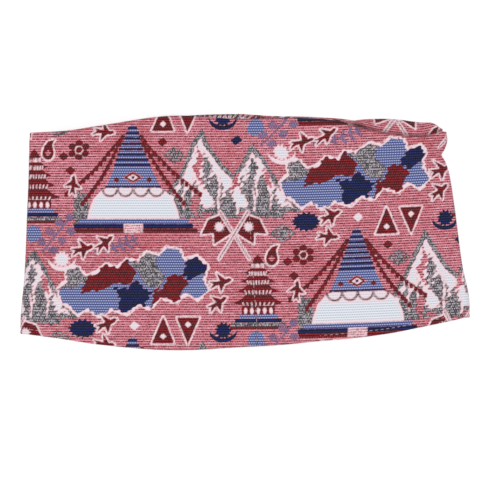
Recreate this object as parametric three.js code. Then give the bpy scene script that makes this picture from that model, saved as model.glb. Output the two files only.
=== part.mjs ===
// A dhaka topi, the brimless cloth cap of Nepal, folded flat and lying on its back.
// A tall band of figured cloth runs round the head, and an oval crown closes its top.
// Pressed flat, the band has a fold at each side, and the crown is pushed down between
// its two walls. At the right the crown stands proud of the seam instead.
// Millimetres. X runs along the rim, Y from the rim to the crown, Z up off the table.
import * as THREE from "three";

// Driving sizes
const headGirth = 570; // round the rim, a medium head
const seamGirth = 529; // round the seam that joins the crown to the band
const bandHeight = 148; // from the rim to the seam, where the band is tallest
const seamShift = -4.3; // how far the seam's middle lies beside the rim's middle
const bandCloth = 1.8; // the band's wall, outer cloth and stiffening together
const crownCloth = 1.2; // the crown's wall
const foldGap = 3.6; // air that stays inside each side fold
const foldLift = 1.6; // how far each side fold lifts off the table
const rimSpring = 12; // how far the front wall arches over its folds, at the rim
const waistSpring = 9; // the same, halfway up
const seamSpring = 9.5; // the same, at the seam
const dentDepth = 4.9; // how far the dent under the right corner goes in
const crownTuck = 62; // how deep the crown's middle is pushed down
const crownCrease = 1.2; // middle radius of the crease at the bottom of the crown
const archDepth = 4; // where the crown is tucked less than this, it is one round arch
const leafDepth = 16; // where it is tucked more than this, it is two flat leaves
const seamGap = 0.35; // between the band and the crown that is sewn into it

// Worked out from the driving sizes
const rimWidth = headGirth / 2;
const seamWidth = seamGirth / 2;
const foldRadius = (foldGap + bandCloth) / 2;
const foldReach = foldRadius + bandCloth / 2;

// Grid steps
const panelSteps = 28;
const foldSteps = 4;
const heightSteps = 16;
const edgeSteps = 3;
const crownSteps = 40;
const leafSteps = 5;
const creaseSteps = 6;

// How far up the crown's edge starts on the band, and how near the folds it ends
const crownEdgeRatio = 0.99;
const crownReachRatio = 0.985;

// The cap's outline. across: from the left fold, -1, to the right fold, 1. rim and seams:
// distance from the middle line as a share of bandHeight. The front seam dips at the right.
// rimArch and seamArch: share of the spring that the front wall has there.
const outline = [
  { across: -1.0, rim: -0.436, backSeam: 0.427, frontSeam: 0.427, rimArch: 0, seamArch: 0 },
  { across: -0.85, rim: -0.454, backSeam: 0.43, frontSeam: 0.434, rimArch: 0.34, seamArch: 0.32 },
  { across: -0.67, rim: -0.479, backSeam: 0.45, frontSeam: 0.457, rimArch: 0.64, seamArch: 0.6 },
  { across: -0.33, rim: -0.503, backSeam: 0.494, frontSeam: 0.5, rimArch: 0.94, seamArch: 0.93 },
  { across: 0.0, rim: -0.489, backSeam: 0.506, frontSeam: 0.495, rimArch: 1, seamArch: 1 },
  { across: 0.17, rim: -0.48, backSeam: 0.499, frontSeam: 0.491, rimArch: 0.99, seamArch: 0.99 },
  { across: 0.33, rim: -0.465, backSeam: 0.496, frontSeam: 0.487, rimArch: 0.94, seamArch: 0.95 },
  { across: 0.5, rim: -0.451, backSeam: 0.488, frontSeam: 0.474, rimArch: 0.83, seamArch: 0.93 },
  { across: 0.67, rim: -0.43, backSeam: 0.467, frontSeam: 0.434, rimArch: 0.65, seamArch: 0.88 },
  { across: 0.8, rim: -0.406, backSeam: 0.452, frontSeam: 0.416, rimArch: 0.45, seamArch: 0.76 },
  { across: 0.9, rim: -0.387, backSeam: 0.443, frontSeam: 0.411, rimArch: 0.24, seamArch: 0.5 },
  { across: 1.0, rim: -0.366, backSeam: 0.431, frontSeam: 0.431, rimArch: 0, seamArch: 0 },
];

// The side folds' lines. up: from the rim, 0, to the seam, 1. leftIn and rightIn: how far
// inside the straight line from corner to corner each fold lies, as a share of dentDepth.
const sideFolds = [
  { up: 0, leftIn: 0, rightIn: 0 },
  { up: 0.1, leftIn: -0.05, rightIn: -0.2 },
  { up: 0.27, leftIn: 0.17, rightIn: 0.12 },
  { up: 0.6, leftIn: 0.15, rightIn: 0.2 },
  { up: 0.78, leftIn: 0.12, rightIn: 0.36 },
  { up: 0.82, leftIn: 0.1, rightIn: 0.52 },
  { up: 0.85, leftIn: 0.08, rightIn: 0.74 },
  { up: 0.88, leftIn: 0.05, rightIn: 1.05 },
  { up: 0.915, leftIn: 0.03, rightIn: 0.52 },
  { up: 0.955, leftIn: 0, rightIn: 0.08 },
  { up: 1, leftIn: 0, rightIn: 0 },
];

// The crown between its edges. tuck: how deep it goes, as a share of crownTuck.
// Below nought it stands proud of the seam.
const crownFold = [
  { across: -1, tuck: 0 },
  { across: -0.9, tuck: 0.05 },
  { across: -0.8, tuck: 0.22 },
  { across: -0.6, tuck: 0.6 },
  { across: -0.35, tuck: 0.9 },
  { across: -0.05, tuck: 1 },
  { across: 0.2, tuck: 0.8 },
  { across: 0.37, tuck: 0.42 },
  { across: 0.47, tuck: 0.14 },
  { across: 0.56, tuck: -0.01 },
  { across: 0.67, tuck: -0.09 },
  { across: 0.79, tuck: -0.12 },
  { across: 0.9, tuck: -0.11 },
  { across: 0.96, tuck: -0.09 },
  { across: 1, tuck: -0.01 },
];

const { lerp, smoothstep } = THREE.MathUtils;

// A smooth curve through one column of a table, read at a value of its first column.
function curveOf(table, key, column) {
  const curve = new THREE.CubicInterpolant(
    table.map((row) => row[key]),
    table.map((row) => row[column]),
    1,
  );
  const first = table[0][key];
  const last = table[table.length - 1][key];
  return (at) => curve.evaluate(THREE.MathUtils.clamp(at, first, last))[0];
}

const rimLine = curveOf(outline, "across", "rim");
const backSeamLine = curveOf(outline, "across", "backSeam");
const frontSeamLine = curveOf(outline, "across", "frontSeam");
const rimArch = curveOf(outline, "across", "rimArch");
const seamArch = curveOf(outline, "across", "seamArch");
const leftIn = curveOf(sideFolds, "up", "leftIn");
const rightIn = curveOf(sideFolds, "up", "rightIn");
const tuckLine = curveOf(crownFold, "across", "tuck");

// The outermost x of each side fold at a height.
function foldEdge(side, up) {
  const straight = side * lerp(rimWidth / 2, seamWidth / 2, up) + seamShift * up;
  return straight - side * dentDepth * (side > 0 ? rightIn(up) : leftIn(up));
}

// How far a wall is above the table along its middle, at the back.
function backLevel(across) {
  return bandCloth / 2 + foldLift * smoothstep(Math.abs(across), 0.8, 1);
}

// How far the front wall stands over the back wall, at their middles.
function wallSpacing(across, up) {
  const low = rimSpring * rimArch(across);
  const high = seamSpring * seamArch(across);
  const sag = (waistSpring - (rimSpring + seamSpring) / 2) * rimArch(across);
  return 2 * foldRadius + lerp(low, high, up) + 4 * sag * up * (1 - up);
}

// The middle of a wall's thickness. The half cloth at rim and seam is left for the round edge.
function wallPoint(front, across, up) {
  const centre = (foldEdge(1, up) + foldEdge(-1, up)) / 2;
  const half = (foldEdge(1, up) - foldEdge(-1, up)) / 2 - foldReach;
  const seamLine = front ? frontSeamLine : backSeamLine;
  const rimY = bandHeight * rimLine(across) + bandCloth / 2;
  const seamY = bandHeight * seamLine(across) - bandCloth / 2;
  const z = backLevel(across) + (front ? wallSpacing(across, up) : 0);
  return new THREE.Vector3(centre + across * half, lerp(rimY, seamY, up), z);
}

// The middle of a side fold's thickness. turn: from the back wall, 0, to the front wall, 1.
function foldPoint(side, turn, up) {
  const back = wallPoint(false, side, up);
  const angle = Math.PI * (turn - 0.5);
  back.x += side * foldRadius * Math.cos(angle);
  back.z += foldRadius * (1 + Math.sin(angle));
  return back;
}

// The band's middle surface: along the back, round the right fold, along the front and
// round the left fold.
function bandPoint(step, up) {
  const legs = [panelSteps, foldSteps, panelSteps, foldSteps];
  let leg = 0;
  while (step >= legs[leg]) {
    step -= legs[leg];
    leg += 1;
  }
  const along = step / legs[leg];
  if (leg === 0) return wallPoint(false, 2 * along - 1, up);
  if (leg === 1) return foldPoint(1, along, up);
  if (leg === 2) return wallPoint(true, 1 - 2 * along, up);
  return foldPoint(-1, 1 - along, up);
}

// One end of the crown's section, just inside the band's wall at the seam.
function crownEdge(front, across) {
  const point = wallPoint(front, across, crownEdgeRatio);
  const inward = bandCloth / 2 + seamGap + crownCloth / 2;
  point.z += front ? -inward : inward;
  return point;
}

// The crown's middle surface. around: from its back edge, -1, over the crease, 0, to its
// front edge, 1. A deep tuck is two flat leaves with a round crease, a shallow one an arch.
function crownPoint(across, around) {
  const back = crownEdge(false, across);
  const front = crownEdge(true, across);
  const depth = crownTuck * tuckLine(across);
  const arch = back.clone().lerp(front, (around + 1) / 2);
  arch.y -= depth * (1 - around * around);
  const leafShare = leafSteps / (leafSteps + creaseSteps / 2);
  const edge = around < 0 ? back : front;
  const side = Math.sign(around);
  const creaseY = Math.min(back.y, front.y) - depth + crownCrease;
  const creaseZ = back.z + Math.min((front.z - back.z) / 2, 2 * crownCrease);
  const fromCrease = Math.abs(around) - (1 - leafShare);
  const fold = back.clone();
  if (fromCrease >= 0) {
    const up = fromCrease / leafShare;
    fold.y = lerp(creaseY, edge.y, up);
    fold.z = lerp(creaseZ + side * crownCrease, edge.z, up);
  } else {
    const angle = (Math.PI / 2) * (Math.abs(around) / (1 - leafShare));
    fold.y = creaseY - crownCrease * Math.cos(angle);
    fold.z = creaseZ + side * crownCrease * Math.sin(angle);
  }
  return arch.lerp(fold, smoothstep(depth, archDepth, leafDepth));
}

// The direction out of a grid of points, from its neighbours along and across.
function outwardAt(grid, i, j, ring) {
  const n = grid.length;
  const m = grid[0].length;
  const before = grid[ring ? (i + n - 1) % n : Math.max(i - 1, 0)][j];
  const after = grid[ring ? (i + 1) % n : Math.min(i + 1, n - 1)][j];
  const under = grid[i][Math.max(j - 1, 0)];
  const over = grid[i][Math.min(j + 1, m - 1)];
  const along = after.clone().sub(before);
  return along.cross(over.clone().sub(under)).normalize();
}

// A closed loop of points round one strip of cloth: its outer face, a round or square
// edge, its inner face and the other edge.
function loopAt(grid, i, cloth, ring, steps) {
  const strip = grid[i];
  const last = strip.length - 1;
  const loop = [];
  const place = (j, angle, edgeDirection) => {
    const out = outwardAt(grid, i, j, ring);
    const point = strip[j].clone().addScaledVector(out, (cloth / 2) * Math.cos(angle));
    if (edgeDirection) point.addScaledVector(edgeDirection, (cloth / 2) * Math.sin(angle));
    loop.push(point);
  };
  const beyond = (j, towards) => strip[j].clone().sub(strip[towards]).normalize();
  for (let j = 0; j <= last; j += 1) place(j, 0);
  for (let k = 1; k < steps; k += 1) place(last, (Math.PI * k) / steps, beyond(last, last - 1));
  for (let j = last; j >= 0; j -= 1) place(j, Math.PI);
  for (let k = steps - 1; k > 0; k -= 1) place(0, (Math.PI * k) / steps, beyond(0, 1));
  return loop;
}

// A closed solid of cloth round a grid of points, grid[column][row]. A ring joins its last
// column to its first. An open sheet gets an end wall at each end.
function clothSolid(grid, cloth, ring, steps) {
  const loops = grid.map((_, i) => loopAt(grid, i, cloth, ring, steps));
  const round = loops[0].length;
  const positions = loops.flat().flatMap((p) => [p.x, p.y, p.z]);
  const faces = [];
  const at = (i, k) => (i % loops.length) * round + ((k + round) % round);
  const quad = (a, b, c, d) => faces.push(a, b, c, a, c, d);
  const columns = ring ? loops.length : loops.length - 1;
  for (let i = 0; i < columns; i += 1) {
    for (let k = 0; k < round; k += 1) quad(at(i, k), at(i + 1, k), at(i + 1, k + 1), at(i, k + 1));
  }
  if (!ring) {
    const last = loops.length - 1;
    for (let k = 0; k < round / 2 - 1; k += 1) {
      const mirror = round - 1 - k;
      quad(at(0, k), at(0, k + 1), at(0, mirror - 1), at(0, mirror));
      quad(at(last, k + 1), at(last, k), at(last, mirror), at(last, mirror - 1));
    }
  }
  const geometry = new THREE.BufferGeometry();
  geometry.setAttribute("position", new THREE.Float32BufferAttribute(positions, 3));
  geometry.setIndex(faces);
  geometry.computeVertexNormals();
  return geometry;
}

// Rows closer together towards the seam, where the right fold is dented.
function heightOf(row) {
  return 1 - (1 - row / heightSteps) ** 1.5;
}

function makeBand() {
  const grid = [];
  for (let i = 0; i < 2 * (panelSteps + foldSteps); i += 1) {
    const column = [];
    for (let j = 0; j <= heightSteps; j += 1) column.push(bandPoint(i, heightOf(j)));
    grid.push(column);
  }
  const cloth = new THREE.MeshStandardMaterial({ color: 0xb65b6d, roughness: 0.9, metalness: 0 });
  const band = new THREE.Mesh(clothSolid(grid, bandCloth, true, edgeSteps), cloth);
  band.name = "band";
  return band;
}

function makeCrown() {
  const grid = [];
  const around = 2 * leafSteps + creaseSteps;
  for (let i = 0; i <= crownSteps; i += 1) {
    const across = crownReachRatio * ((2 * i) / crownSteps - 1);
    const column = [];
    for (let j = 0; j <= around; j += 1) column.push(crownPoint(across, (2 * j) / around - 1));
    grid.push(column.reverse());
  }
  const cloth = new THREE.MeshStandardMaterial({ color: 0xb65b6d, roughness: 0.9, metalness: 0 });
  const crown = new THREE.Mesh(clothSolid(grid, crownCloth, false, 1), cloth);
  crown.name = "crown";
  return crown;
}

// The finished cap, moved so that the origin is under the middle of its box.
const cap = new THREE.Group();
cap.add(makeBand(), makeCrown());
const box = new THREE.Box3().setFromObject(cap);
const middle = box.getCenter(new THREE.Vector3());
cap.position.set(-middle.x, -middle.y, -box.min.z);
cap.updateMatrixWorld(true);

export default cap;
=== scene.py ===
"""A dhaka topi, folded flat: its figured band, its tucked crown and their stitching.

Lengths are millimetres until a mesh is made, then metres. X runs along the rim, Y from the
rim to the crown, and Z up off the table, as in the CAD frame.
"""

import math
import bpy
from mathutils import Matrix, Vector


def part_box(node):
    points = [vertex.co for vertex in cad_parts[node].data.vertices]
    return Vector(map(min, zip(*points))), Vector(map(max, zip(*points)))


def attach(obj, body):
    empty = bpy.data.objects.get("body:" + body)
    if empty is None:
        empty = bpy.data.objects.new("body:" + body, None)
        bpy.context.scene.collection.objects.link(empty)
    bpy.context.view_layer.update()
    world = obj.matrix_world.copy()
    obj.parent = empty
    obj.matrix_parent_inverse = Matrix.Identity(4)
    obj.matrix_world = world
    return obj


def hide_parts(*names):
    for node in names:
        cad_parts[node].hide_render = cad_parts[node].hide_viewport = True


bl_info = {
    "name": "Folded topi",
    "version": (1, 0, 0),
    "blender": (4, 5, 0),
    "location": "3D View > Sidebar > Topi",
    "description": "Makes a cloth cap that is folded flat, with a woven figured pattern",
    "category": "Add Mesh",
}

import bpy
import numpy as np

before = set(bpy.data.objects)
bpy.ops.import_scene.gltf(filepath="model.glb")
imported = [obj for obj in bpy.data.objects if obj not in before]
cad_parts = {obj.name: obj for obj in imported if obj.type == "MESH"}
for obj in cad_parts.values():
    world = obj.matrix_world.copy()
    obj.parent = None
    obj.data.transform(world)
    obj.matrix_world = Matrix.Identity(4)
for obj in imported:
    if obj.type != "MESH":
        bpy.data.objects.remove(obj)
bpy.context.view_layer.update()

MM = 0.001
STITCH_SEED = 11
# The gap between the crown and each wall, where they are sewn together, and how far up the
# band the crown's edges lie.
SEAM_GAP = 0.35
CROWN_UP = 0.997
# The crown is one arch where it is tucked in less than the first depth, and two leaves with a
# crease where it is deeper than the second one. A leaf takes up a share of each half of it.
TUCK_BLEND = (4, 16)
LEAF_SHARE = 0.8

# The cap's outline, a row per place across it, as in the CAD part, except that the front seam
# lies a little lower in the middle, where the back seam's stitches show above it. Columns:
# across from the left fold to the right one, rim, back seam and front seam as shares of the
# band's height from the middle line, and the front wall's share of its spring at the rim and
# at the seam.
OUTLINE = np.array([
    (-1.00, -0.436, 0.427, 0.427, 0.00, 0.00),
    (-0.85, -0.454, 0.430, 0.434, 0.34, 0.32),
    (-0.67, -0.479, 0.450, 0.457, 0.64, 0.60),
    (-0.33, -0.503, 0.495, 0.497, 0.94, 0.93),
    (0.00, -0.489, 0.507, 0.484, 1.00, 1.00),
    (0.17, -0.480, 0.499, 0.488, 0.99, 0.99),
    (0.33, -0.465, 0.496, 0.487, 0.94, 0.95),
    (0.50, -0.451, 0.488, 0.474, 0.83, 0.93),
    (0.67, -0.430, 0.467, 0.434, 0.65, 0.88),
    (0.80, -0.406, 0.452, 0.416, 0.45, 0.76),
    (0.90, -0.387, 0.443, 0.411, 0.24, 0.50),
    (1.00, -0.366, 0.431, 0.431, 0.00, 0.00),
])
# The side folds. Columns: up from the rim to the seam, and how far the left and the right
# fold lie inside a straight line, as shares of the dent's depth.
SIDE_FOLDS = np.array([
    (0.000, 0.00, 0.00), (0.100, -0.05, -0.20), (0.270, 0.17, 0.12), (0.600, 0.15, 0.20),
    (0.780, 0.12, 0.36), (0.820, 0.10, 0.52), (0.850, 0.08, 0.74), (0.880, 0.05, 1.05),
    (0.915, 0.03, 0.52), (0.955, 0.00, 0.08), (1.000, 0.00, 0.00),
])
# The crown. Columns: across, and how deep it is tucked in as a share of the deepest tuck.
# Below nought it stands proud of the seam.
CROWN_FOLD = np.array([
    (-1.00, 0.00), (-0.90, 0.05), (-0.80, 0.22), (-0.60, 0.60), (-0.35, 0.90),
    (-0.05, 1.00), (0.20, 0.80), (0.37, 0.42), (0.47, 0.14), (0.56, -0.01),
    (0.67, -0.09), (0.79, -0.12), (0.90, -0.11), (0.96, -0.10), (1.00, -0.04),
])


def mm(metres):
    """A length property, which Blender keeps in metres, in millimetres."""
    return metres / MM


def smooth_curve(table, column, at):
    """One column of a table read anywhere along its first column. A cubic joins the rows,
    and its slope at each row is the mean of the slopes of the two chords beside it."""
    keys, values = table[:, 0], table[:, column]
    chords = np.diff(values) / np.diff(keys)
    slopes = np.concatenate(([chords[0]], (chords[1:] + chords[:-1]) / 2, [chords[-1]]))
    at = np.clip(at, keys[0], keys[-1])
    k = np.clip(np.searchsorted(keys, at, side="right") - 1, 0, len(keys) - 2)
    step = keys[k + 1] - keys[k]
    p = (at - keys[k]) / step
    start = values[k] * (1 + 2 * p) * (1 - p) ** 2 + slopes[k] * step * p * (1 - p) ** 2
    end = values[k + 1] * p**2 * (3 - 2 * p) + slopes[k + 1] * step * p**2 * (p - 1)
    return start + end


def ease(value, low, high):
    """0 below low, 1 above high, and a smooth step between them."""
    p = np.clip((value - low) / (high - low), 0, 1)
    return p * p * (3 - 2 * p)


def unit(vectors):
    """Vectors along the last axis, made one long."""
    return vectors / np.maximum(np.linalg.norm(vectors, axis=-1, keepdims=True), 1e-9)


# The cap's form


class Form:
    """The folded cap's middle surfaces, from the panel's sizes, in millimetres. The form that
    isn't dented has straight side folds, and the pattern is laid out on it."""

    def __init__(self, sizes, dented=True):
        self.rim = mm(sizes.rim_width)
        self.seam = mm(sizes.seam_width)
        self.height = mm(sizes.band_height)
        self.shift = mm(sizes.seam_shift)
        self.cloth = mm(sizes.band_cloth)
        self.crown_cloth = mm(sizes.crown_cloth)
        self.fold_gap = mm(sizes.fold_gap)
        self.fold_lift = mm(sizes.fold_lift)
        self.rim_spring = mm(sizes.rim_spring)
        self.waist_spring = mm(sizes.waist_spring)
        self.seam_spring = mm(sizes.seam_spring)
        self.dent = mm(sizes.dent_depth) if dented else 0.0
        self.tuck = mm(sizes.crown_tuck)
        self.crease = mm(sizes.crown_crease)
        self.radius = (self.fold_gap + self.cloth) / 2
        self.reach = self.radius + self.cloth / 2
        # The frame's origin is under the middle of the CAD model's box, and a coarse grid
        # tells where this form's own middle is.
        probe = self.band(*self.ring_columns(40, 40, 8), np.linspace(0, 1, 30)).reshape(-1, 3)
        cad = np.array([list(corner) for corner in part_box("band")]) / MM
        self.origin = (cad[0] + cad[1] - probe.min(0) - probe.max(0)) / 2
        self.origin[2] = cad[0][2]

    def fold_edge(self, side, up):
        """The outermost x of a side fold: a straight line from corner to corner, less the
        dent's share there."""
        straight = side * (self.rim + (self.seam - self.rim) * up) / 2 + self.shift * up
        return straight - side * self.dent * smooth_curve(SIDE_FOLDS, 2 if side > 0 else 1, up)

    def wall(self, front, across, up):
        """The middle of a wall's thickness. front is 0 on the back wall and 1 on the front
        one. x runs between the side folds, y from the rim's line to the seam's, and z is the
        table's height plus, in front, the gap of the folds and the arch."""
        right, left = self.fold_edge(1, up), self.fold_edge(-1, up)
        x = (right + left) / 2 + across * ((right - left) / 2 - self.reach)
        rim_y = self.height * smooth_curve(OUTLINE, 1, across) + self.cloth / 2
        back_y = smooth_curve(OUTLINE, 2, across)
        front_y = smooth_curve(OUTLINE, 3, across)
        seam_y = self.height * (back_y + (front_y - back_y) * front) - self.cloth / 2
        y = rim_y + (seam_y - rim_y) * up
        low = self.rim_spring * smooth_curve(OUTLINE, 4, across)
        high = self.seam_spring * smooth_curve(OUTLINE, 5, across)
        sag = self.waist_spring - (self.rim_spring + self.seam_spring) / 2
        arch = low + (high - low) * up
        arch = arch + 4 * sag * smooth_curve(OUTLINE, 4, across) * up * (1 - up)
        z = self.cloth / 2 + self.fold_lift * ease(np.abs(across), 0.8, 1)
        return np.stack(np.broadcast_arrays(x, y, z + front * (2 * self.radius + arch)), -1)

    @staticmethod
    def ring_columns(back, front, fold):
        """Places round the band from the middle of the back: across, front and the fold's
        turn. A fold's columns stay at the wall's end and turn from one wall to the other."""
        half = back // 2
        left_back = np.linspace(0, -1, half, endpoint=False)
        turn = np.linspace(0, 1, fold, endpoint=False)
        front_run = np.linspace(-1, 1, front, endpoint=False)
        right_back = np.linspace(1, 0, half + 1)
        end = np.ones(fold)
        across = np.concatenate((left_back, -end, front_run, end, right_back))
        on_front = np.zeros(across.size)
        on_front[half + fold:half + fold + front] = 1
        flat = np.full(half, -1.0)
        turns = np.concatenate((flat, turn, np.full(front, -1.0), 1 - turn, flat, [-1.0]))
        return across, on_front, turns

    def band(self, across, on_front, turns, up):
        """The band's middle surface on a grid of columns and rows. Where turns is 0 to 1 the
        wall's end is carried round a half circle whose radius is the fold's."""
        a, f, t = across[:, None], on_front[:, None], turns[:, None]
        grid = self.wall(f, a, up[None, :] + 0 * a)
        angle = math.pi * (t - 0.5)
        turning = t >= 0
        grid[..., 0] += np.where(turning, np.sign(a) * self.radius * np.cos(angle), 0)
        grid[..., 2] += np.where(turning, self.radius * (1 + np.sin(angle)), 0)
        return grid

    def crown(self, across, around, lap):
        """The crown's middle surface. around runs from the back edge, -1, over the crease,
        0, to the front edge, 1. A shallow tuck is a parabola between the edges, and a deep one
        is two straight leaves with a half circle between them. Near its edges the cloth laps
        against the walls, by the millimetres in lap."""
        a, r = across[:, None], around[None, :]
        ends = []
        for front in (0, 1):
            end = self.wall(front, a, CROWN_UP + 0 * a)
            end[..., 2] += (1 - 2 * front) * (self.cloth / 2 + SEAM_GAP + self.crown_cloth / 2)
            ends.append(end)
        back, front = ends
        depth = self.tuck * smooth_curve(CROWN_FOLD, 1, a)
        straight = back + (front - back) * ((r + 1) / 2)[..., None]
        arch_y = straight[..., 1] - depth * (1 - r * r)
        arch_z = straight[..., 2]
        crease_y = np.minimum(back[..., 1], front[..., 1]) - depth + self.crease
        spread = (front[..., 2] - back[..., 2]) / 2
        crease_z = back[..., 2] + np.minimum(spread, 2 * self.crease)
        side = np.sign(r)
        rise = (np.abs(r) - (1 - LEAF_SHARE)) / LEAF_SHARE
        edge_y = np.where(r < 0, back[..., 1], front[..., 1])
        edge_z = np.where(r < 0, back[..., 2], front[..., 2])
        angle = (math.pi / 2) * np.clip(np.abs(r) / (1 - LEAF_SHARE), 0, 1)
        on_leaf = rise >= 0
        foot_z = crease_z + side * self.crease
        y = np.where(on_leaf, crease_y + (edge_y - crease_y) * rise,
                     crease_y - self.crease * np.cos(angle))
        z = np.where(on_leaf, foot_z + (edge_z - foot_z) * rise,
                     crease_z + side * self.crease * np.sin(angle))
        fold = ease(depth, *TUCK_BLEND)
        y = arch_y + (y - arch_y) * fold
        z = arch_z + (z - arch_z) * fold + side * lap * ease(np.abs(r), 0.9, 1)
        return np.stack((straight[..., 0], y, z), -1)


def normals_of(grid, ring):
    """The direction out of a surface grid, from the differences along and up it."""
    if ring:
        along = np.roll(grid, -1, 0) - np.roll(grid, 1, 0)
    else:
        along = np.gradient(grid, axis=0)
    return unit(np.cross(along, np.gradient(grid, axis=1)))


def cloth_loops(grid, thickness, relief, ring, edge_steps, inner_rows):
    """Closed loops round a sheet of cloth, a loop per column: the outer face moved out by
    half the thickness plus the relief, a half circle over the far edge, fewer rows on the
    inner face, and a half circle back. Also says which points are on the inner face."""
    normal = normals_of(grid, ring)
    half = thickness / 2
    outer = grid + normal * (half + relief[..., None])
    pick = np.linspace(grid.shape[1] - 1, 0, inner_rows).round().astype(int)
    inner = grid[:, pick] - normal[:, pick] * half
    angles = np.linspace(0, math.pi, edge_steps + 2)[1:-1][None, :, None]

    def edge(j, towards, back):
        """The half circle over the edge at row j, which leads from the outer face to the inner
        one, or back."""
        out = unit(grid[:, j] - grid[:, towards])[:, None]
        lift = np.cos(angles) * (-1 if back else 1)
        return grid[:, j][:, None] + half * (normal[:, j][:, None] * lift + out * np.sin(angles))

    far, near = edge(-1, -2, False), edge(0, 1, True)
    loops = np.concatenate((outer, far, inner, near), axis=1)
    inside = np.zeros(loops.shape[1], bool)
    start = outer.shape[1] + edge_steps
    inside[start + 1:start + inner_rows - 1] = True
    return loops, inside


def new_mesh(name, points, faces):
    """A smooth mesh from points in millimetres, and faces that all have as many corners."""
    mesh = bpy.data.meshes.new(name)
    mesh.vertices.add(len(points))
    mesh.vertices.foreach_set("co", (points * MM).ravel())
    mesh.loops.add(faces.size)
    mesh.loops.foreach_set("vertex_index", faces.ravel().astype(np.int32))
    mesh.polygons.add(len(faces))
    starts = np.arange(0, faces.size, faces.shape[1], dtype=np.int32)
    mesh.polygons.foreach_set("loop_start", starts)
    mesh.polygons.foreach_set("use_smooth", np.ones(len(faces), bool))
    return mesh


def shell_mesh(name, loops, inside, ring, edge_steps, corner_uv, corner_values):
    """A closed mesh from loops of points. The last column of a ring lies on its first one and
    shares its vertices, but keeps its own place on the cloth. An open sheet's first and last
    loops are closed by faces from each outer point to the inner one behind it. corner_uv and
    corner_values hold a value for every point of the grid, and go to the face corners."""
    columns, around = loops.shape[:2]
    wraps = columns - 1 if ring else columns
    i, k = np.meshgrid(np.arange(columns - 1), np.arange(around), indexing="ij")
    k2 = (k + 1) % around
    here, there = i * around, (i + 1) * around
    corners = np.stack((here + k, there + k, there + k2, here + k2), -1).reshape(-1, 4)
    backing = (inside[k] | inside[k2]).reshape(-1)
    if not ring:
        outer = np.arange(around // 2) - edge_steps // 2
        behind = around - edge_steps - 1 - outer
        first = np.stack((outer[:-1], outer[1:], behind[1:], behind[:-1]), -1) % around
        last = first[:, ::-1] + (columns - 1) * around
        corners = np.concatenate((corners, first, last))
        backing = np.concatenate((backing, np.ones(2 * len(first), bool)))
    mesh = new_mesh(name, loops[:wraps].reshape(-1, 3), corners % (wraps * around))
    mesh.polygons.foreach_set("material_index", backing.astype(np.int32))
    corners = corners.ravel()
    uv = mesh.uv_layers.new(name="cloth")
    uv.data.foreach_set("uv", corner_uv.reshape(-1, 2)[corners].ravel().astype(np.float32))
    for label, values in corner_values.items():
        layer = mesh.attributes.new(label, "FLOAT", "CORNER")
        layer.data.foreach_set("value", values.ravel()[corners].astype(np.float32))
    mesh.update(calc_edges=True)
    mesh.validate()
    return mesh


# The woven figures, drawn by distance

# A shape is a function of x and y that says how far each point is outside it, in
# millimetres, and less than nought inside it. A figure is a list of (yarn, shape), and a
# later one covers those before it.


def polygon(*corners):
    """Distance to the nearest edge, with its sign from how many edges a ray crosses."""
    ring = np.array(corners, float)

    def shape(x, y):
        nearest, inside = np.full(x.shape, 1e9), np.zeros(x.shape, bool)
        for (ax, ay), (bx, by) in zip(ring, np.roll(ring, -1, 0)):
            ex, ey, wx, wy = bx - ax, by - ay, x - ax, y - ay
            t = np.clip((wx * ex + wy * ey) / max(ex * ex + ey * ey, 1e-9), 0, 1)
            nearest = np.minimum(nearest, (wx - ex * t) ** 2 + (wy - ey * t) ** 2)
            if ay != by:
                inside ^= ((ay > y) != (by > y)) & (x < ax + ex * (y - ay) / (by - ay))
        return np.where(inside, -1, 1) * np.sqrt(nearest)

    return shape


def mirrored(*half):
    """A polygon from its right half, from top to bottom."""
    return polygon(*half, *[(-x, y) for x, y in reversed(half)])


def disc(cx, cy, radius, flat=1.0):
    """A circle, or an ellipse squashed to flat times its height."""
    return lambda x, y: (np.hypot(x - cx, (y - cy) / flat) - radius) * min(flat, 1)


def bar(x0, x1, y0, y1):
    """A rectangle."""
    return polygon((x0, y0), (x1, y0), (x1, y1), (x0, y1))


def line(width, *points):
    """A bent line with round ends."""

    def shape(x, y):
        nearest = np.full(x.shape, 1e9)
        for (ax, ay), (bx, by) in zip(points, points[1:]):
            ex, ey = bx - ax, by - ay
            t = np.clip(((x - ax) * ex + (y - ay) * ey) / max(ex * ex + ey * ey, 1e-9), 0, 1)
            nearest = np.minimum(nearest, np.hypot(x - ax - ex * t, y - ay - ey * t))
        return nearest - width / 2

    return shape


def arc(width, cx, cy, radius, start, end, steps=12):
    """Part of a ring, between two angles in degrees."""
    turns = np.radians(np.linspace(start, end, steps))
    return line(width, *zip(cx + radius * np.cos(turns), cy + radius * np.sin(turns)))


def burst(cx, cy, points, inner, outer, flat=1.0):
    """A sun with pointed rays: a polygon whose corners are by turns far and near. It is turned
    a little, so that no ray points straight across."""
    turns = np.linspace(0, 2 * math.pi, 2 * points, endpoint=False) + 0.1
    radii = np.where(np.arange(2 * points) % 2, inner, outer)
    return polygon(*zip(cx + radii * np.cos(turns), cy + flat * radii * np.sin(turns)))


def diamond(cx, cy, radius, flat=1.0):
    """A lozenge, squashed to flat times its height."""
    tall = radius * flat
    return polygon((cx + radius, cy), (cx, cy + tall), (cx - radius, cy), (cx, cy - tall))


def grown(shape, by):
    """The shape with its edge moved out."""
    return lambda x, y: shape(x, y) - by


def both(*shapes):
    """All of the shapes joined."""
    return lambda x, y: np.minimum.reduce([s(x, y) for s in shapes])


def common(*shapes):
    """What all of the shapes share."""
    return lambda x, y: np.maximum.reduce([s(x, y) for s in shapes])


def without(shape, *holes):
    """The shape less the others."""
    return lambda x, y: np.maximum.reduce([shape(x, y)] + [-h(x, y) for h in holes])


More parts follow.
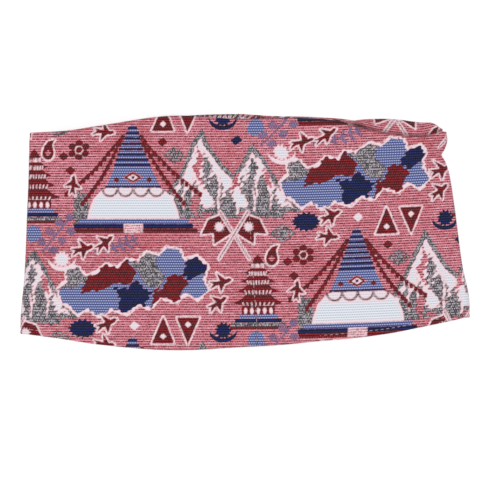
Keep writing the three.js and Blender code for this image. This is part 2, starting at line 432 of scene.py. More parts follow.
def jagged(shape, depth):
    """The shape with a stepped edge: waves of two lengths move it in and out by the depth."""

    def moved(x, y):
        wave = np.sin(1.1 * x + 1.9 * np.sin(0.7 * y)) + np.sin(1.6 * y - 0.9 * x)
        return shape(x, y) + 0.5 * depth * wave

    return moved


def bird():
    """A swallow in flight, edged in white."""
    body = polygon(
        (7.6, 2.4), (5.2, 0.6), (2.0, -0.8), (-0.6, -6.6), (-1.6, -1.2), (-4.2, -1.8), (-8.4, -4.4),
        (-5.8, -0.8), (-8.8, 0.6), (-3.2, 0.9), (-0.8, 1.4), (-3.6, 7.2), (3.0, 2.2), (5.4, 3.4),
    )
    return [("white", grown(body, 1.5)), ("maroon", grown(body, 0.3))]


def lozenge(yarn, size=3.4):
    """A small plain lozenge."""
    return lambda: [(yarn, diamond(0, 0, size, 0.85))]


def spiked(yarn):
    """A wide disc with spikes all round."""
    return lambda: [(yarn, burst(0, 0, 15, 7.6, 10.6, 0.66))]


def ringed_lozenge():
    """A grey lozenge with a ringed heart and spikes at its sides."""
    outer = both(diamond(0, 0, 9.6, 0.7), burst(0, 0, 16, 6.0, 8.2, 0.8))
    ring = without(disc(0, 0, 5.4, 0.7), disc(0, 0, 4.3, 0.7))
    return [("grey", outer), ("rose", ring)]


def soft_round():
    """A soft round in blue."""
    return [("blue", jagged(disc(0, 0, 6.2), 0.7))]


def moon(yarn):
    """A lying crescent that holds half of a rayed sun."""
    cup = without(disc(0, 1.0, 9.9, 0.84), disc(0, 5.2, 10.6, 0.9))
    sun = common(burst(0, 1.0, 11, 4.2, 6.8), bar(-8, 8, -4, 9))
    return lambda: [(yarn, both(cup, sun))]


def blossom():
    """Maroon petals round a heart, on a pale ground that shows as a ring between them."""
    turns = np.radians(np.arange(90, 450, 60))
    petals = [disc(5.0 * math.cos(t), 4.4 * math.sin(t), 2.7, 0.85) for t in turns]
    heart = disc(0, 0, 2.2)
    return [
        ("white", grown(disc(0, 0, 5.6, 0.85), 0.2)), ("maroon", both(*petals)),
        ("white", without(disc(0, 0, 2.9), heart)), ("maroon", heart),
    ]


def leaves():
    """Ragged leaves in hatched blue, on a low stem."""
    blades = [
        polygon((0, -1), (side * 4.0, 3.0), (side * 10.5, 1.0), (side * 7.0, -1.6),
                (side * 9.0, -4.0), (side * 3.0, -3.2))
        for side in (-1, 1)
    ]
    return [("hatch", jagged(both(*blades, diamond(0, -1.5, 3.6)), 0.8))]


def sprig():
    """A leaning stem in hatched blue with round leaves in pairs and one at its tip."""
    pairs = [
        disc(9.5 * t + side * 4.6, 10 * t - side * 3.4, 3.7, 0.8)
        for t in (-0.7, 0.05, 0.8) for side in (-1, 1)
    ]
    stem = line(1.8, (-10, -12), (-2, -1), (9.5, 12.5))
    return [("hatch", jagged(both(stem, *pairs, disc(11.5, 15.5, 3.2)), 0.3))]


def fern():
    """A slanting frond in hatched blue: leaflets each side of a stem, shorter near its ends."""
    leaflets = []
    for t in np.linspace(-0.8, 0.8, 4):
        x, y, span = 13 * t, 5 * t, 1.2 - 0.6 * abs(t)
        leaflets.append(line(2.9, (x, y), (x + 0.5, y + 6.0 * span)))
        leaflets.append(line(2.9, (x, y), (x + 6.0 * span, y - 5.0 * span)))
    return [("hatch", jagged(both(line(2.0, (-15, -5.8), (15, 5.8)), *leaflets), 0.3))]


def paisley():
    """A maroon drop whose tip leans over, edged in white, with a rose heart."""
    tip = polygon((-4.4, -1.4), (-3.0, 3.2), (0.4, 7.0), (5.4, 8.2), (3.4, 4.4), (4.4, -1.4))
    drop = both(disc(0, -2.4, 4.6, 1.15), tip)
    return [("white", grown(drop, 1.3)), ("maroon", drop), ("rose", diamond(0, -2.4, 2.6, 1.1))]


def banners():
    """Two crossed poles with swallow-tailed banners, each with a pale sun."""
    layers = []
    for side in (-1, 1):
        cloth = polygon(
            (side * 10.6, 17.5), (side * 1.0, 2.6), (side * 17.0, -7.5), (side * 17.4, 2.0),
            (side * 28.0, 1.0), (side * 22.0, 13.6),
        )
        sun = burst(side * 12.6, 7.2, 11, 3.0, 5.0)
        layers += [("white", grown(cloth, 1.5)), ("maroon", cloth), ("white", sun)]
    for side in (-1, 1):
        pole = line(1.2, (side * -13, -20), (side * 12, 20))
        layers += [("white", grown(pole, 1.3)), ("grey", pole)]
    return layers


def tents():
    """Two steep maroon triangles, point to foot, with pale edges and a pale lozenge."""
    layers = []
    for x, turn in ((-11.5, 1), (11.5, -1)):
        tent = polygon((x, 13 * turn), (x + 10.5, -12 * turn), (x - 10.5, -12 * turn))
        heart = diamond(x, -5.4 * turn, 3.0)
        layers += [("white", grown(tent, 1.5)), ("maroon", tent), ("white", heart)]
    return layers


def steps_of(*rows):
    """Bars from rows of yarn, half width, foot and top."""
    return [(yarn, bar(-wide, wide, low, high)) for yarn, wide, low, high in rows]


def pagoda():
    """A tiered tower on a stepped foot: each roof is wider than the one above it."""
    layers = []
    tiers = ((-7.0, 18.6, 9.5), (1.6, 15.6, 8.0), (8.8, 12.8, 7.0), (15.2, 10.2, 6.0), (20.8, 7.6, 5.0))
    for foot, wide, tall in tiers:
        roof = mirrored(
            (wide * 0.38, foot + tall), (wide * 0.66, foot + tall * 0.45), (wide, foot + 1.4),
            (wide * 0.64, foot),
        )
        slats = [
            line(0.85, (wide * s, foot - 0.6), (wide * s * 1.12, foot + 1.8))
            for s in np.linspace(-0.54, 0.54, 8)
        ]
        layers += [("maroon", roof), ("white", both(*slats))]
    doors = [disc(x, -11.2, 1.3, 1.7) for x in (-9.2, -4.6, 0, 4.6, 9.2)]
    layers.append(("maroon", both(diamond(0, 26.5, 3.0), bar(-12.0, 12.0, -14, -7.4))))
    layers.append(("white", both(*doors)))
    return layers + steps_of(
        ("blue", 14, -16.8, -14), ("navy", 17, -19.8, -16.8), ("grey", 19.5, -22.6, -19.8),
        ("maroon", 23, -24.4, -22.6),
    )


def shrine():
    """A white dome on a long plinth, under a blue block and a broad ringed spire, with strings
    of pennants from its top and a tree at its foot."""
    layers = [("grey", jagged(both(disc(-35, 10.5, 5.2, 2.1), bar(-40, -30, -1, 8)), 1.0))]
    for side in (-1, 1):
        for reach, drop in ((45, 21), (34, 15)):
            steps = np.linspace(0.06, 1, 14)
            xs = side * (4 + (reach - 4) * steps)
            ys = 62 - (62 - drop) * steps - 3.5 * np.sin(math.pi * steps)
            flags = [
                polygon((x - 1.4, y + 0.6), (x + 1.4, y + 0.4), (x + 0.9, y - 3.1), (x - 1.4, y - 2.7))
                for x, y in zip(xs, ys)
            ]
            layers.append(("maroon", both(line(1.1, *zip(xs, ys)), *flags)))
    dome = mirrored((17, 24.5), (22, 22.0), (27, 16.5), (30.0, 9.0), (31.0, 3.5))
    scallops = [arc(1.5, x, 23.6, 4.9, 185, 355) for x in (-15.6, -5.2, 5.2, 15.6)]
    spire = mirrored((1.6, 66), (12.4, 37.0), (18.2, 24.5))
    rings = [bar(-20, 20, y, y + 1.8) for y in np.arange(38.6, 66, 3.5)]
    ringed = common(grown(spire, 0.8), both(*rings, bar(-20, 20, 24.2, 25.6)))
    layers += [("white", dome), ("grey", both(*scallops)), ("blue", spire), ("navy", ringed)]
    heart_yarns = (("rose", 7.0, 0.62), ("maroon", 5.6, 0.62), ("white", 3.6, 0.6))
    layers += [(yarn, diamond(0, 31.2, radius, flat)) for yarn, radius, flat in heart_yarns]
    studs = both(diamond(-11.0, 29.6, 2.2), diamond(11.0, 29.6, 2.2))
    layers += [("navy", disc(0, 31.2, 1.1)), ("maroon", studs)]
    layers += steps_of(("blue", 37, 0.4, 3.6), ("navy", 40, -2.8, 0.4), ("maroon", 43, -5.6, -2.8))
    layers += steps_of(("white", 6.5, -5.6, 0.4))
    return layers + steps_of(*[("rose", 6.5, y, y + 0.8) for y in (-5.0, -3.2, -1.4)])


def peaks():
    """Grey peaks with a broad band of snow inside their edge, rock and cracks in grey, rose
    light down the slopes, and gullies of snow over the rock."""
    ridge = polygon(
        (-54, -30), (-40, -16), (-31, -2), (-23, 14), (-15, 30), (-6, 15), (1, 4), (8, -3), (16, 8),
        (24, 20), (31, 9), (39, -6), (48, -18), (58, -30),
    )
    rock = [
        polygon((-44, -34), (-33, -19), (-29, -8), (-26, -16), (-21, -4), (-17, -16), (-14, -34)),
        polygon((-12, 14), (-7, 3), (-10, -9), (-4, -1), (1, -14), (-2, -24), (5, -12), (9, -24),
                (13, -34), (-9, -34), (-6, -22), (-12, -14), (-14, 0)),
        polygon((22, 9), (26, 2), (23, -9), (30, -3), (34, -14), (39, -20), (45, -34), (16, -34),
                (18, -22), (13, -12), (18, -6)),
    ]
    light = [
        polygon((-16, 18), (-13, 8), (-17, -2), (-13, -14), (-18, -7), (-22, 2), (-18, 6)),
        polygon((-20, -14), (-17, -22), (-19, -34), (-24, -26)),
        polygon((12, -2), (11, -10), (5, -18), (8, -6)),
        polygon((29, 2), (31, -8), (36, -14), (34, -2)),
    ]

    def runnels(width, middle, foot, back, *places):
        """Bent lines down a slope, from rows of their top and how far they lean aside. Their
        middle and their foot lie that far below the top, and the foot leans back."""
        return [
            line(width, (x, y), (x + lean, y - middle), (x + back * lean, y - foot))
            for x, y, lean in places
        ]

    gullies = runnels(
        1.5, 7, 15, 0.6, (-20, -4, -2.6), (-27, -12, -2.0), (-4, -2, 1.8), (-2, -14, -1.6),
        (9, -16, 2.2), (26, -4, -1.8), (33, -12, 2.4), (22, -14, 1.4),
    )
    cracks = runnels(
        1.3, 6, 12, 0.4, (-17, 12, 1.8), (-13, 0, -1.6), (-35, -18, 2.0), (6, -4, 2.2),
        (14, -4, -1.4), (24, 14, 1.2), (36, -6, 2.2), (44, -16, 2.6),
    )
    return [
        ("grey", jagged(ridge, 0.6)), ("white", jagged(grown(ridge, -3.2), 0.8)),
        ("grey", jagged(both(*rock, *cracks), 1.6)), ("rose", jagged(both(*light), 1.2)),
        ("white", jagged(both(*gullies), 0.6)),
    ]


def terraces():
    """A long patchwork hill with a pale edge, cut into slanting fields of every yarn."""
    hill = polygon(
        (-50, -16), (-53, -7), (-47, -1), (-49, 7), (-40, 9), (-35, 3), (-27, 5), (-21, 12),
        (-12, 10), (-6, 16), (2, 15), (8, 22), (17, 20), (22, 26), (31, 25), (35, 18), (44, 21),
        (52, 14), (49, 5), (53, -2), (46, -9), (37, -5), (31, -12), (20, -9), (13, -17), (4, -15),
        (-3, -22), (-14, -19), (-22, -25), (-31, -20), (-38, -24), (-45, -18),
    )
    fields = (
        ("grey", (-60, -8), (-40, -5), (-30, 2), (-28, 20), (-60, 20)),
        ("blue", (-46, -30), (-38, -11), (-22, -7), (-16, -14), (-8, -12), (-4, -30)),
        ("maroon", (-37, 30), (-33, 1), (-37, -9), (-22, -6), (-14, -1), (-2, -2), (2, 8), (-4, 14),
         (-2, 30)),
        ("navy", (-10, -30), (-9, -12), (-14, -4), (-4, -4), (1, 3), (7, -3), (14, -6), (9, -14),
         (12, -30)),
        ("grey", (-4, 30), (-3, 13), (3, 8), (8, -1), (19, -3), (22, 6), (15, 14), (18, 30)),
        ("blue", (14, 40), (16, 14), (23, 7), (33, 9), (37, 16), (34, 40)),
        ("maroon", (10, -40), (15, -5), (21, -2), (24, 6), (33, 8), (39, 2), (34, -5), (32, -40)),
        ("navy", (34, 40), (36, 15), (34, 8), (40, 3), (46, 8), (60, 12), (60, 40)),
    )
    inside = grown(hill, -0.2)
    layers = [("white", jagged(grown(hill, 1.6), 0.7)), ("blue", jagged(inside, 0.7))]
    for yarn, *corners in fields:
        layers.append((yarn, jagged(common(inside, polygon(*corners)), 1.2)))
    return layers


YARNS = ("maroon", "navy", "blue", "grey", "white", "hatch")

# The cloth repeats across and up, and each next repeat across stands half a repeat higher.
# The first one starts this far across and up from the front's middle.
REPEAT = (142.0, 134.0)
START = (71.0, -62.0)
# Distances to a yarn's area are kept up to this one.
FAR = 6.0
# Where on the cloth the crown's front edge is cut, across and up.
CROWN_CUT = (40.0, 53.0)
# The figures on one repeat, larger ones first: figure, its place across and up from where the
# repeat starts, its turn in degrees, its size, and how far it reaches.
FIGURES = (
    (peaks, 57, 34, 0, 0.88, 56), (terraces, 0, -37, -3, 0.9, 54), (shrine, 0, 0, 0, 0.95, 72),
    (banners, 64, -7, 0, 0.74, 34), (tents, 27, 67, 0, 0.68, 26), (pagoda, 79, -45, 0, 0.87, 34),
    (spiked("navy"), 110, 1, 0, 0.95, 13), (ringed_lozenge, 95, -6, 0, 0.85, 13),
    (ringed_lozenge, 27, 43.5, 0, 0.75, 13), (blossom, 108, -20, 0, 0.95, 12),
    (moon("navy"), 57, 66, 0, 0.9, 14), (moon("white"), 96, 44, 0, 0.9, 14),
    (soft_round, 78, 61, 0, 0.85, 10), (paisley, 88, -20, 0, 0.8, 12), (sprig, 92, 59, 0, 0.8, 18),
    (fern, -7, -12.5, 0, 0.62, 24), (leaves, -24, -14, 0, 0.8, 14),
    (bird, 110, 51, 0, 0.85, 10), (bird, 124, 55, 25, 0.8, 10), (bird, 126, 4, 10, 0.85, 10),
    (bird, 124, -9, -20, 0.8, 10), (bird, 56, -37, 0, 0.85, 10), (bird, 54, -50, 20, 0.8, 10),
    (bird, 104, -42, 70, 0.75, 10),
    (lozenge("maroon"), 98, -24, 0, 1.0, 8), (lozenge("navy", 3.8), 67, 53, 0, 1.0, 8),
    (lozenge("maroon"), 102, -33, 0, 1.0, 8), (lozenge("white", 3.8), 1, 70, 0, 0.9, 8),
    (lozenge("maroon"), 20, 52, 0, 1.0, 8),
)


def repeats(values, at, reach, pitch):
    """The numbers of the repeats, one pitch apart, whose figure reaches some of the values."""
    first = math.floor((values.min() - at - reach) / pitch)
    return range(first, math.ceil((values.max() - at + reach) / pitch) + 1)


def woven(u, v):
    """How far every point of the cloth is from the edge of each yarn's area, less than
    nought inside it. Each figure is laid on every repeat that reaches the cloth, cuts its
    areas out of the other yarns and joins them to its own. Rose is the ground, so its areas
    are only cut out."""
    away = {yarn: np.full(u.size, FAR) for yarn in YARNS}
    u, v = u.ravel() - START[0], v.ravel() - START[1]
    across, up = REPEAT
    for make, at_u, at_v, turn, size, reach in FIGURES:
        layers = make()
        cos, sin = math.cos(math.radians(turn)), math.sin(math.radians(turn))
        for i in repeats(u, at_u, reach, across):
            base = at_v + up / 2 * (i % 2)
            for j in repeats(v, base, reach, up):
                du, dv = u - at_u - i * across, v - base - j * up
                near = np.flatnonzero((np.abs(du) < reach) & (np.abs(dv) < reach))
                if not near.size:
                    continue
                x = (du[near] * cos + dv[near] * sin) / size
                y = (dv[near] * cos - du[near] * sin) / size
                for own, shape in layers:
                    distance = shape(x, y) * size
                    for yarn in YARNS:
                        old = away[yarn][near]
                        new = np.minimum(old, distance) if yarn == own else np.maximum(old, -distance)
                        away[yarn][near] = np.clip(new, -FAR, FAR)
    return away


# Finishes


class Signal:
    """A node's output in a formula: plus, minus, times and divided by add Math nodes."""

    def __init__(self, nodes, socket):
        self.nodes, self.socket = nodes, socket

    def maths(self, operation, *values):
        """A Math node's result."""
        return self.nodes.signal("ShaderNodeMath", dict(enumerate(values)), operation=operation)

    def __add__(self, other):
        return self.maths("ADD", self, other)

    def __sub__(self, other):
        return self.maths("SUBTRACT", self, other)

    def __rsub__(self, other):
        return self.maths("SUBTRACT", other, self)

    def __mul__(self, other):
        return self.maths("MULTIPLY", self, other)

    def __truediv__(self, other):
        return self.maths("DIVIDE", self, other)

    def floor(self):
        """The whole number below it."""
        return self.maths("FLOOR", self)

    def wave(self):
        """A sine wave from 0 to 1, one long for each whole number."""
        return self.maths("SINE", self * (2 * math.pi)) * 0.5 + 0.5

    def held(self):
        """The same value, held between 0 and 1 by the node that it comes from."""
        self.socket.node.use_clamp = True
        return self


class Nodes:
    """A node tree, and short ways to add what the finishes need."""

    def __init__(self, tree):
        self.tree = tree

    def feed(self, socket, value):
        """Joins a signal to a socket, or sets the socket to a plain value."""
        if isinstance(value, Signal):
            self.tree.links.new(value.socket, socket)
        else:
            socket.default_value = value

    def add(self, kind, inputs=None, **settings):
        """A new node with its settings, and its inputs fed by name or number."""
        made = self.tree.nodes.new(kind)
        for key, value in settings.items():
            setattr(made, key, value)
        for key, value in (inputs or {}).items():
            self.feed(made.inputs[key], value)
        return made

    def signal(self, kind, inputs=None, output=0, **settings):
        """The output of a new node."""
        return Signal(self, self.add(kind, inputs, **settings).outputs[output])

    def attribute(self, name):
        """One of the piece's own values."""
        return self.signal("ShaderNodeAttribute", output="Fac", attribute_name=name)

    def cloth(self):
        """The piece's own cloth map, in millimetres."""
        return self.signal("ShaderNodeUVMap", uv_map="cloth")

    def noise(self, place, scale, detail, dimensions="2D"):
        """Slow random swells."""
        inputs = {"Vector": place, "Scale": scale, "Detail": detail}
        return self.signal("ShaderNodeTexNoise", inputs, noise_dimensions=dimensions)

    def blend(self, share, low, high):
        """A colour mixed from two by a share."""
        inputs = {0: share, 6: low, 7: high}
        return self.signal("ShaderNodeMix", inputs, 2, data_type="RGBA", clamp_factor=True)


def shared_group(name, inputs, outputs, formulas):
    """The shader group of that name, built the first time that it is asked for. inputs gives
    its sockets and their values, and formulas turns their signals into the outputs."""
    ready = bpy.data.node_groups.get(name)
    if ready:
        return ready
    tree = bpy.data.node_groups.new(name, "ShaderNodeTree")
    for label, value in inputs.items():
        kind = "NodeSocketVector" if value is None else "NodeSocketFloat"
        socket = tree.interface.new_socket(label, in_out="INPUT", socket_type=kind)
        if value is not None:
            socket.default_value = value
    for label in outputs:
        tree.interface.new_socket(label, in_out="OUTPUT", socket_type="NodeSocketFloat")
    nodes = Nodes(tree)
    given = nodes.add("NodeGroupInput").outputs
    results = formulas(nodes, *(Signal(nodes, given[label]) for label in inputs))
    nodes.add("NodeGroupOutput", dict(zip(outputs, results)))
    return tree


def thread_formulas(nodes, cloth, row_pitch, pick_pitch):
    """Woven threads. Rows and picks are waves along the cloth and across it, the fleck is a
    random value for each crossing, the streak varies from thread to thread and slowly along
    one, and the height is the relief of them all."""
    split = nodes.add("ShaderNodeSeparateXYZ", {0: cloth}).outputs
    row = Signal(nodes, split[1]) / row_pitch
    pick = Signal(nodes, split[0]) / pick_pitch
    rows = row.wave()
    # Picks on one row lie between those of the next.
    picks = (row.floor() * 0.5 + pick).wave()
    crossing = nodes.signal("ShaderNodeCombineXYZ", {0: (pick * 2.0).floor(), 1: (row * 2.0).floor()})
    fleck = nodes.signal("ShaderNodeTexWhiteNoise", {0: crossing}, noise_dimensions="2D")
    along = nodes.signal("ShaderNodeCombineXYZ", {0: pick * 0.3, 1: row * 1.3})
    streak = nodes.noise(along, 1.0, 1.0)
    return rows, picks, fleck, streak, fleck * 0.15 + (rows * 0.6 + picks * 0.25)


def threads(nodes, row_pitch, pick_pitch):
    """The woven threads on the piece's own cloth map: rows, picks, fleck, streak, height."""
    labels = ("Rows", "Picks", "Fleck", "Streak", "Height")
    inputs = {"Cloth": None, "Row pitch": row_pitch, "Pick pitch": pick_pitch}
    group = shared_group("woven threads", inputs, labels, thread_formulas)
    made = nodes.add("ShaderNodeGroup", {**inputs, "Cloth": nodes.cloth()}, node_tree=group)
    return [Signal(nodes, made.outputs[label]) for label in labels]


def area_formulas(nodes, distance, fleck, ragged, softness):
    """A yarn's area from the distance to its edge, with the ragged edge that threads give:
    the mask falls from 1 to 0 over the softness, and the fleck moves the edge."""
    edge = distance + (fleck - 0.5) * ragged
    return [(0.5 - edge / softness).held()]


def area(nodes, yarn, fleck, ragged, softness=0.2):
    """1 where the piece's own distances say that a yarn shows, and 0 elsewhere."""
    inputs = {"Distance": 1.0, "Fleck": 0.5, "Ragged": ragged, "Softness": softness}
    group = shared_group("yarn area", inputs, ["Mask"], area_formulas)
    inputs.update({"Distance": nodes.attribute(yarn), "Fleck": fleck})
    return nodes.signal("ShaderNodeGroup", inputs, node_tree=group)


def new_material(name, roughness, sheen, specular=0.3):
    """A material with one Principled shader, its nodes and its shader."""
    material = bpy.data.materials.new(name)
    material.use_nodes = True
    shader = material.node_tree.nodes["Principled BSDF"]
    for label, value in (("Roughness", roughness), ("Sheen Weight", sheen), ("Sheen Roughness", 0.5),
                         ("Specular IOR Level", specular)):
        shader.inputs[label].default_value = value
    return material, Nodes(material.node_tree), shader


def rough_and_bumped(nodes, shader, height, depth, strength, roughness, grain):
    """Joins a height, as deep as depth in metres, to the shader's normal, and lets a grain
    move its roughness up and down a little."""
    bump = nodes.signal("ShaderNodeBump", {"Height": height, "Distance": depth, "Strength": strength})
    nodes.feed(shader.inputs["Normal"], bump)
    nodes.feed(shader.inputs["Roughness"], grain * 0.14 + (roughness - 0.07))


def figured_cloth(colours, sizes):
    """The figured cloth: a rose ground in light and dark rows, and an area of each yarn where
    the piece's distances say so."""
    material, nodes, shader = new_material("figured cloth", 0.88, 0.08)
    rows, picks, fleck, streak, height = threads(nodes, mm(sizes.row_pitch), mm(sizes.pick_pitch))
    blend = nodes.blend
    # The light rows, with pale streaks along them, and redder from place to place.
    crisp = (rows * 2.2 - 0.75).held()
    tone = (nodes.noise(nodes.cloth(), 0.022, 1.0) * 2.4 - 0.7).held()
    ground = blend(tone, colours.rose_light, colours.rose_deep)
    bright = (streak * 2.6 + (fleck * 0.35 - 1.4)).held() * crisp
    ground = blend(bright, ground, colours.rose_pale)
    # The dark rows between them, in dashes, and stray dark crossings.
    dash = picks * 0.55 + (streak * 0.55 + fleck * 0.3)
    stray = ((fleck - 0.55) * 0.9).held()
    colour = blend(((1.0 - crisp) * dash + stray).held(), ground, colours.rose_dark)
    # The other yarns over the ground, each in two shades: its threads come to the face in dots.
    dots = (crisp * (picks * 0.8 + 0.15)).held()
    hatch = ((dots + 0.4) * area(nodes, "hatch", fleck, 0.5)).held()
    colour = blend(hatch, colour, colours.hatch)
    raised = (dots * 1.1 + (fleck * 0.5 - 0.2)).held()
    salt = ((dots * 0.5 + (fleck * 0.6 + streak * 0.5) - 0.56) * 2.2).held()
    for yarn, ragged, share, low, high in (
        ("maroon", 0.35, raised, colours.maroon_dark, colours.maroon),
        ("navy", 0.35, raised, colours.navy_dark, colours.navy),
        ("blue", 0.5, dots, colours.blue, colours.blue_pale),
        ("grey", 0.6, salt, colours.grey_dark, colours.grey_light),
    ):
        colour = blend(area(nodes, yarn, fleck, ragged), colour, blend(share, low, high))
    faint = (1.0 - crisp) * (picks * 0.5 + 0.3)
    white = blend(faint, colours.white, colours.white_shade)
    # A thin pale line shows the ground between its threads.
    within = (nodes.attribute("white") * -0.4).held()
    white = blend(within, colours.white_edge, white)
    colour = blend(area(nodes, "white", fleck, 0.4, 0.7), colour, white)
    # Painted shade at the front seam and along the grooves, mixed in by the crease attribute.
    colour = blend(nodes.attribute("crease"), colour, colours.crease)
    nodes.feed(shader.inputs["Base Color"], colour)
    rough_and_bumped(nodes, shader, height, 0.00022, 0.7, 0.88, fleck)
    return material


def plain_cotton(colours, sizes):
    """The undyed cotton on the inside: a finer, even weave in two shades."""
    material, nodes, shader = new_material("plain cotton", 0.92, 0.2)
    weave = threads(nodes, mm(sizes.row_pitch) / 2, mm(sizes.pick_pitch) / 1.5)
    fleck, streak, height = weave[2:]
    cotton = nodes.blend(streak * 0.6 + fleck * 0.4, colours.cotton_dark, colours.cotton)
    nodes.feed(shader.inputs["Base Color"], cotton)
    rough_and_bumped(nodes, shader, height, 0.00012, 0.6, 0.92, fleck)
    return material


def sewing_thread(name, light, dark):
    """Twisted thread: fine slanting plies in two shades, on Object coordinates."""
    material, nodes, shader = new_material(name, 0.7, 0.3)
    place = nodes.signal("ShaderNodeTexCoord", output="Object")
    inputs = {"Vector": place, "Scale": 900.0, "Distortion": 0.6, "Detail": 1.0}
    plies = nodes.signal("ShaderNodeTexWave", inputs, "Fac", bands_direction="DIAGONAL")
    nodes.feed(shader.inputs["Base Color"], nodes.blend(plies, dark, light))
    rough_and_bumped(nodes, shader, plies, 0.00005, 0.6, 0.7, plies)
    return material


def floor_finish(colours):
    """A pale matt table, with the faintest cloudiness."""
    material, nodes, shader = new_material("pale table", 0.9, 0.0, 0.1)
    clouds = nodes.noise(nodes.signal("ShaderNodeTexCoord", output="Object"), 3.0, 2.0, "3D")
    colour = nodes.blend(clouds * 0.3, colours.table, colours.table_shade)
    nodes.feed(shader.inputs["Base Color"], colour)
    return material


# Pieces

# Grooves in the cloth, with their depth and width: over the hem's stitches, beside the seam,
# along the upright line of stitches and where the cloth's ends meet behind.
HEM_GROOVE = (0.28, 1.0)
SEAM_GROOVE = (0.22, 0.9)
FRONT_GROOVE = (0.25, 1.1)
BACK_GROOVE = (0.3, 1.0)
# How far the seam's groove lies from its edge, and how far the hem is rolled out.
SEAM_INSET = 1.4
HEM_ROLL = 0.22
# The band's usual height, and its height up the middle, as shares of its greatest.
USUAL_HEIGHT = 0.95
MIDDLE_HEIGHT = 0.97
# Rows of points on the band's inner face, and round each edge of the crown.
INNER_ROWS = 8
CROWN_EDGE_ROWS = 2
# How far the crown's edges lap against the walls, and how far its ends reach across, where 1
# is the end of the wall.
CROWN_LAP = 0.5
CROWN_REACH = 1.006
# Where the hem's and the seam's stitches end across, and the pitch of the upright line and of
# the seam's stitches as shares of the hem's.
HEM_ROW_END = 0.985
SEAM_ROW_END = 0.96
LINE_PITCH = 0.86
SEAM_PITCH = 0.45
# How high a thread stands as a share of its width, and the seam's whipped stitches: length,
# width and height.
THREAD_HEIGHT = 0.8
PALE_WHIP = (2.6, 0.8, 0.6)
DARK_WHIP = (2.8, 0.9, 0.7)


def finish_piece(mesh, replaces, slot, *materials):
    """Puts a mesh in the scene as a piece that rides with the cap."""
    piece = bpy.data.objects.new(mesh.name, mesh)
    bpy.context.scene.collection.objects.link(piece)
    for material in materials:
        mesh.materials.append(material)
    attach(piece, "root")
    if replaces:
        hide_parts(replaces)
    return piece


def cloth_rise(u):
    """How far the cloth's rows climb towards the right: a parabola from just left of the
    middle, then level round the back."""
    start, end, bend = -20, 145, 1.875e-4
    return bend * np.clip(u - start, 0, end - start) ** 2


def cloth_places(loops, middle_column, start_u):
    """Each point's place on the cloth, in millimetres: u is the distance along its row from
    the front's middle, which has the x of that place, and v is its height less the rise."""
    steps = np.hypot(np.diff(loops[..., 0], axis=0), np.diff(loops[..., 2], axis=0))
    travelled = np.concatenate((np.zeros((1, loops.shape[1])), np.cumsum(steps, axis=0)))
    u = travelled - travelled[middle_column] + start_u
    return u, loops[..., 1] - cloth_rise(u)


def yarn_values(u, v, inside):
    """How far each place on the outer face is from each yarn's area. The inner face has none
    of them."""
    values = {}
    for yarn, distance in woven(u[:, ~inside], v[:, ~inside]).items():
        values[yarn] = np.full(u.shape, FAR)
        values[yarn][:, ~inside] = distance.reshape(len(u), -1)
    return values


def soft_relief(x, y):
    """Shallow swells of used cloth, in millimetres: three slow sine waves that cross."""
    return (
        0.22 * np.sin(x / 17.0 + 0.6 * np.sin(y / 23.0))
        + 0.18 * np.sin(y / 12.5 + x / 41.0 + 1.0)
        + 0.12 * np.sin((x + 1.6 * y) / 9.0 + 2.0)
    )


def bell(distance, width):
    """A rounded line: 1 on it, and almost nought from the given width away."""
    return np.exp(-((distance / width) ** 2) * 2)


def groove(distance, depth_and_width):
    """How far a rounded groove moves the cloth."""
    depth, width = depth_and_width
    return -depth * bell(distance, width)


def crown_mouth(across):
    """1 where the crown turns from tucked to proud, and less to each side. It weights the painted shade
    along the front seam.
    """
    return ease(across, 0.3, 0.48) * (1 - 0.7 * ease(across, 0.58, 0.7))


def stitched_line(up):
    """Where across the front wall the upright line of stitches stands: it leans left."""
    low, high = 0.055, 0.029
    return low + (high - low) * up


class Cap:
    """What the pieces share: the sizes, the colours, the form and the finishes."""

    def __init__(self, scene):
        self.sizes, self.colours = scene.topi_sizes, scene.topi_colours
        self.form = Form(self.sizes)

    def finish(self, name):
        """A finish by its name, made the first time."""
        ready = bpy.data.materials.get(name)
        if ready:
            return ready
        c = self.colours
        if name == "figured cloth":
            return figured_cloth(c, self.sizes)
        if name == "plain cotton":
            return plain_cotton(c, self.sizes)
        light, dark = (c.thread, c.thread_shade) if name == "pale thread" else (c.rose_dark, c.crease)
        return sewing_thread(name, light, dark)

    def placed(self, points):
        """Points of the form in the frame."""
        return points + self.form.origin

    def cloth_piece(self, mesh, node):
        """A piece of the figured cloth, with plain cotton inside, that stands for a node."""
        cloths = self.finish("figured cloth"), self.finish("plain cotton")
        return finish_piece(mesh, node, "figured_cloth", *cloths)


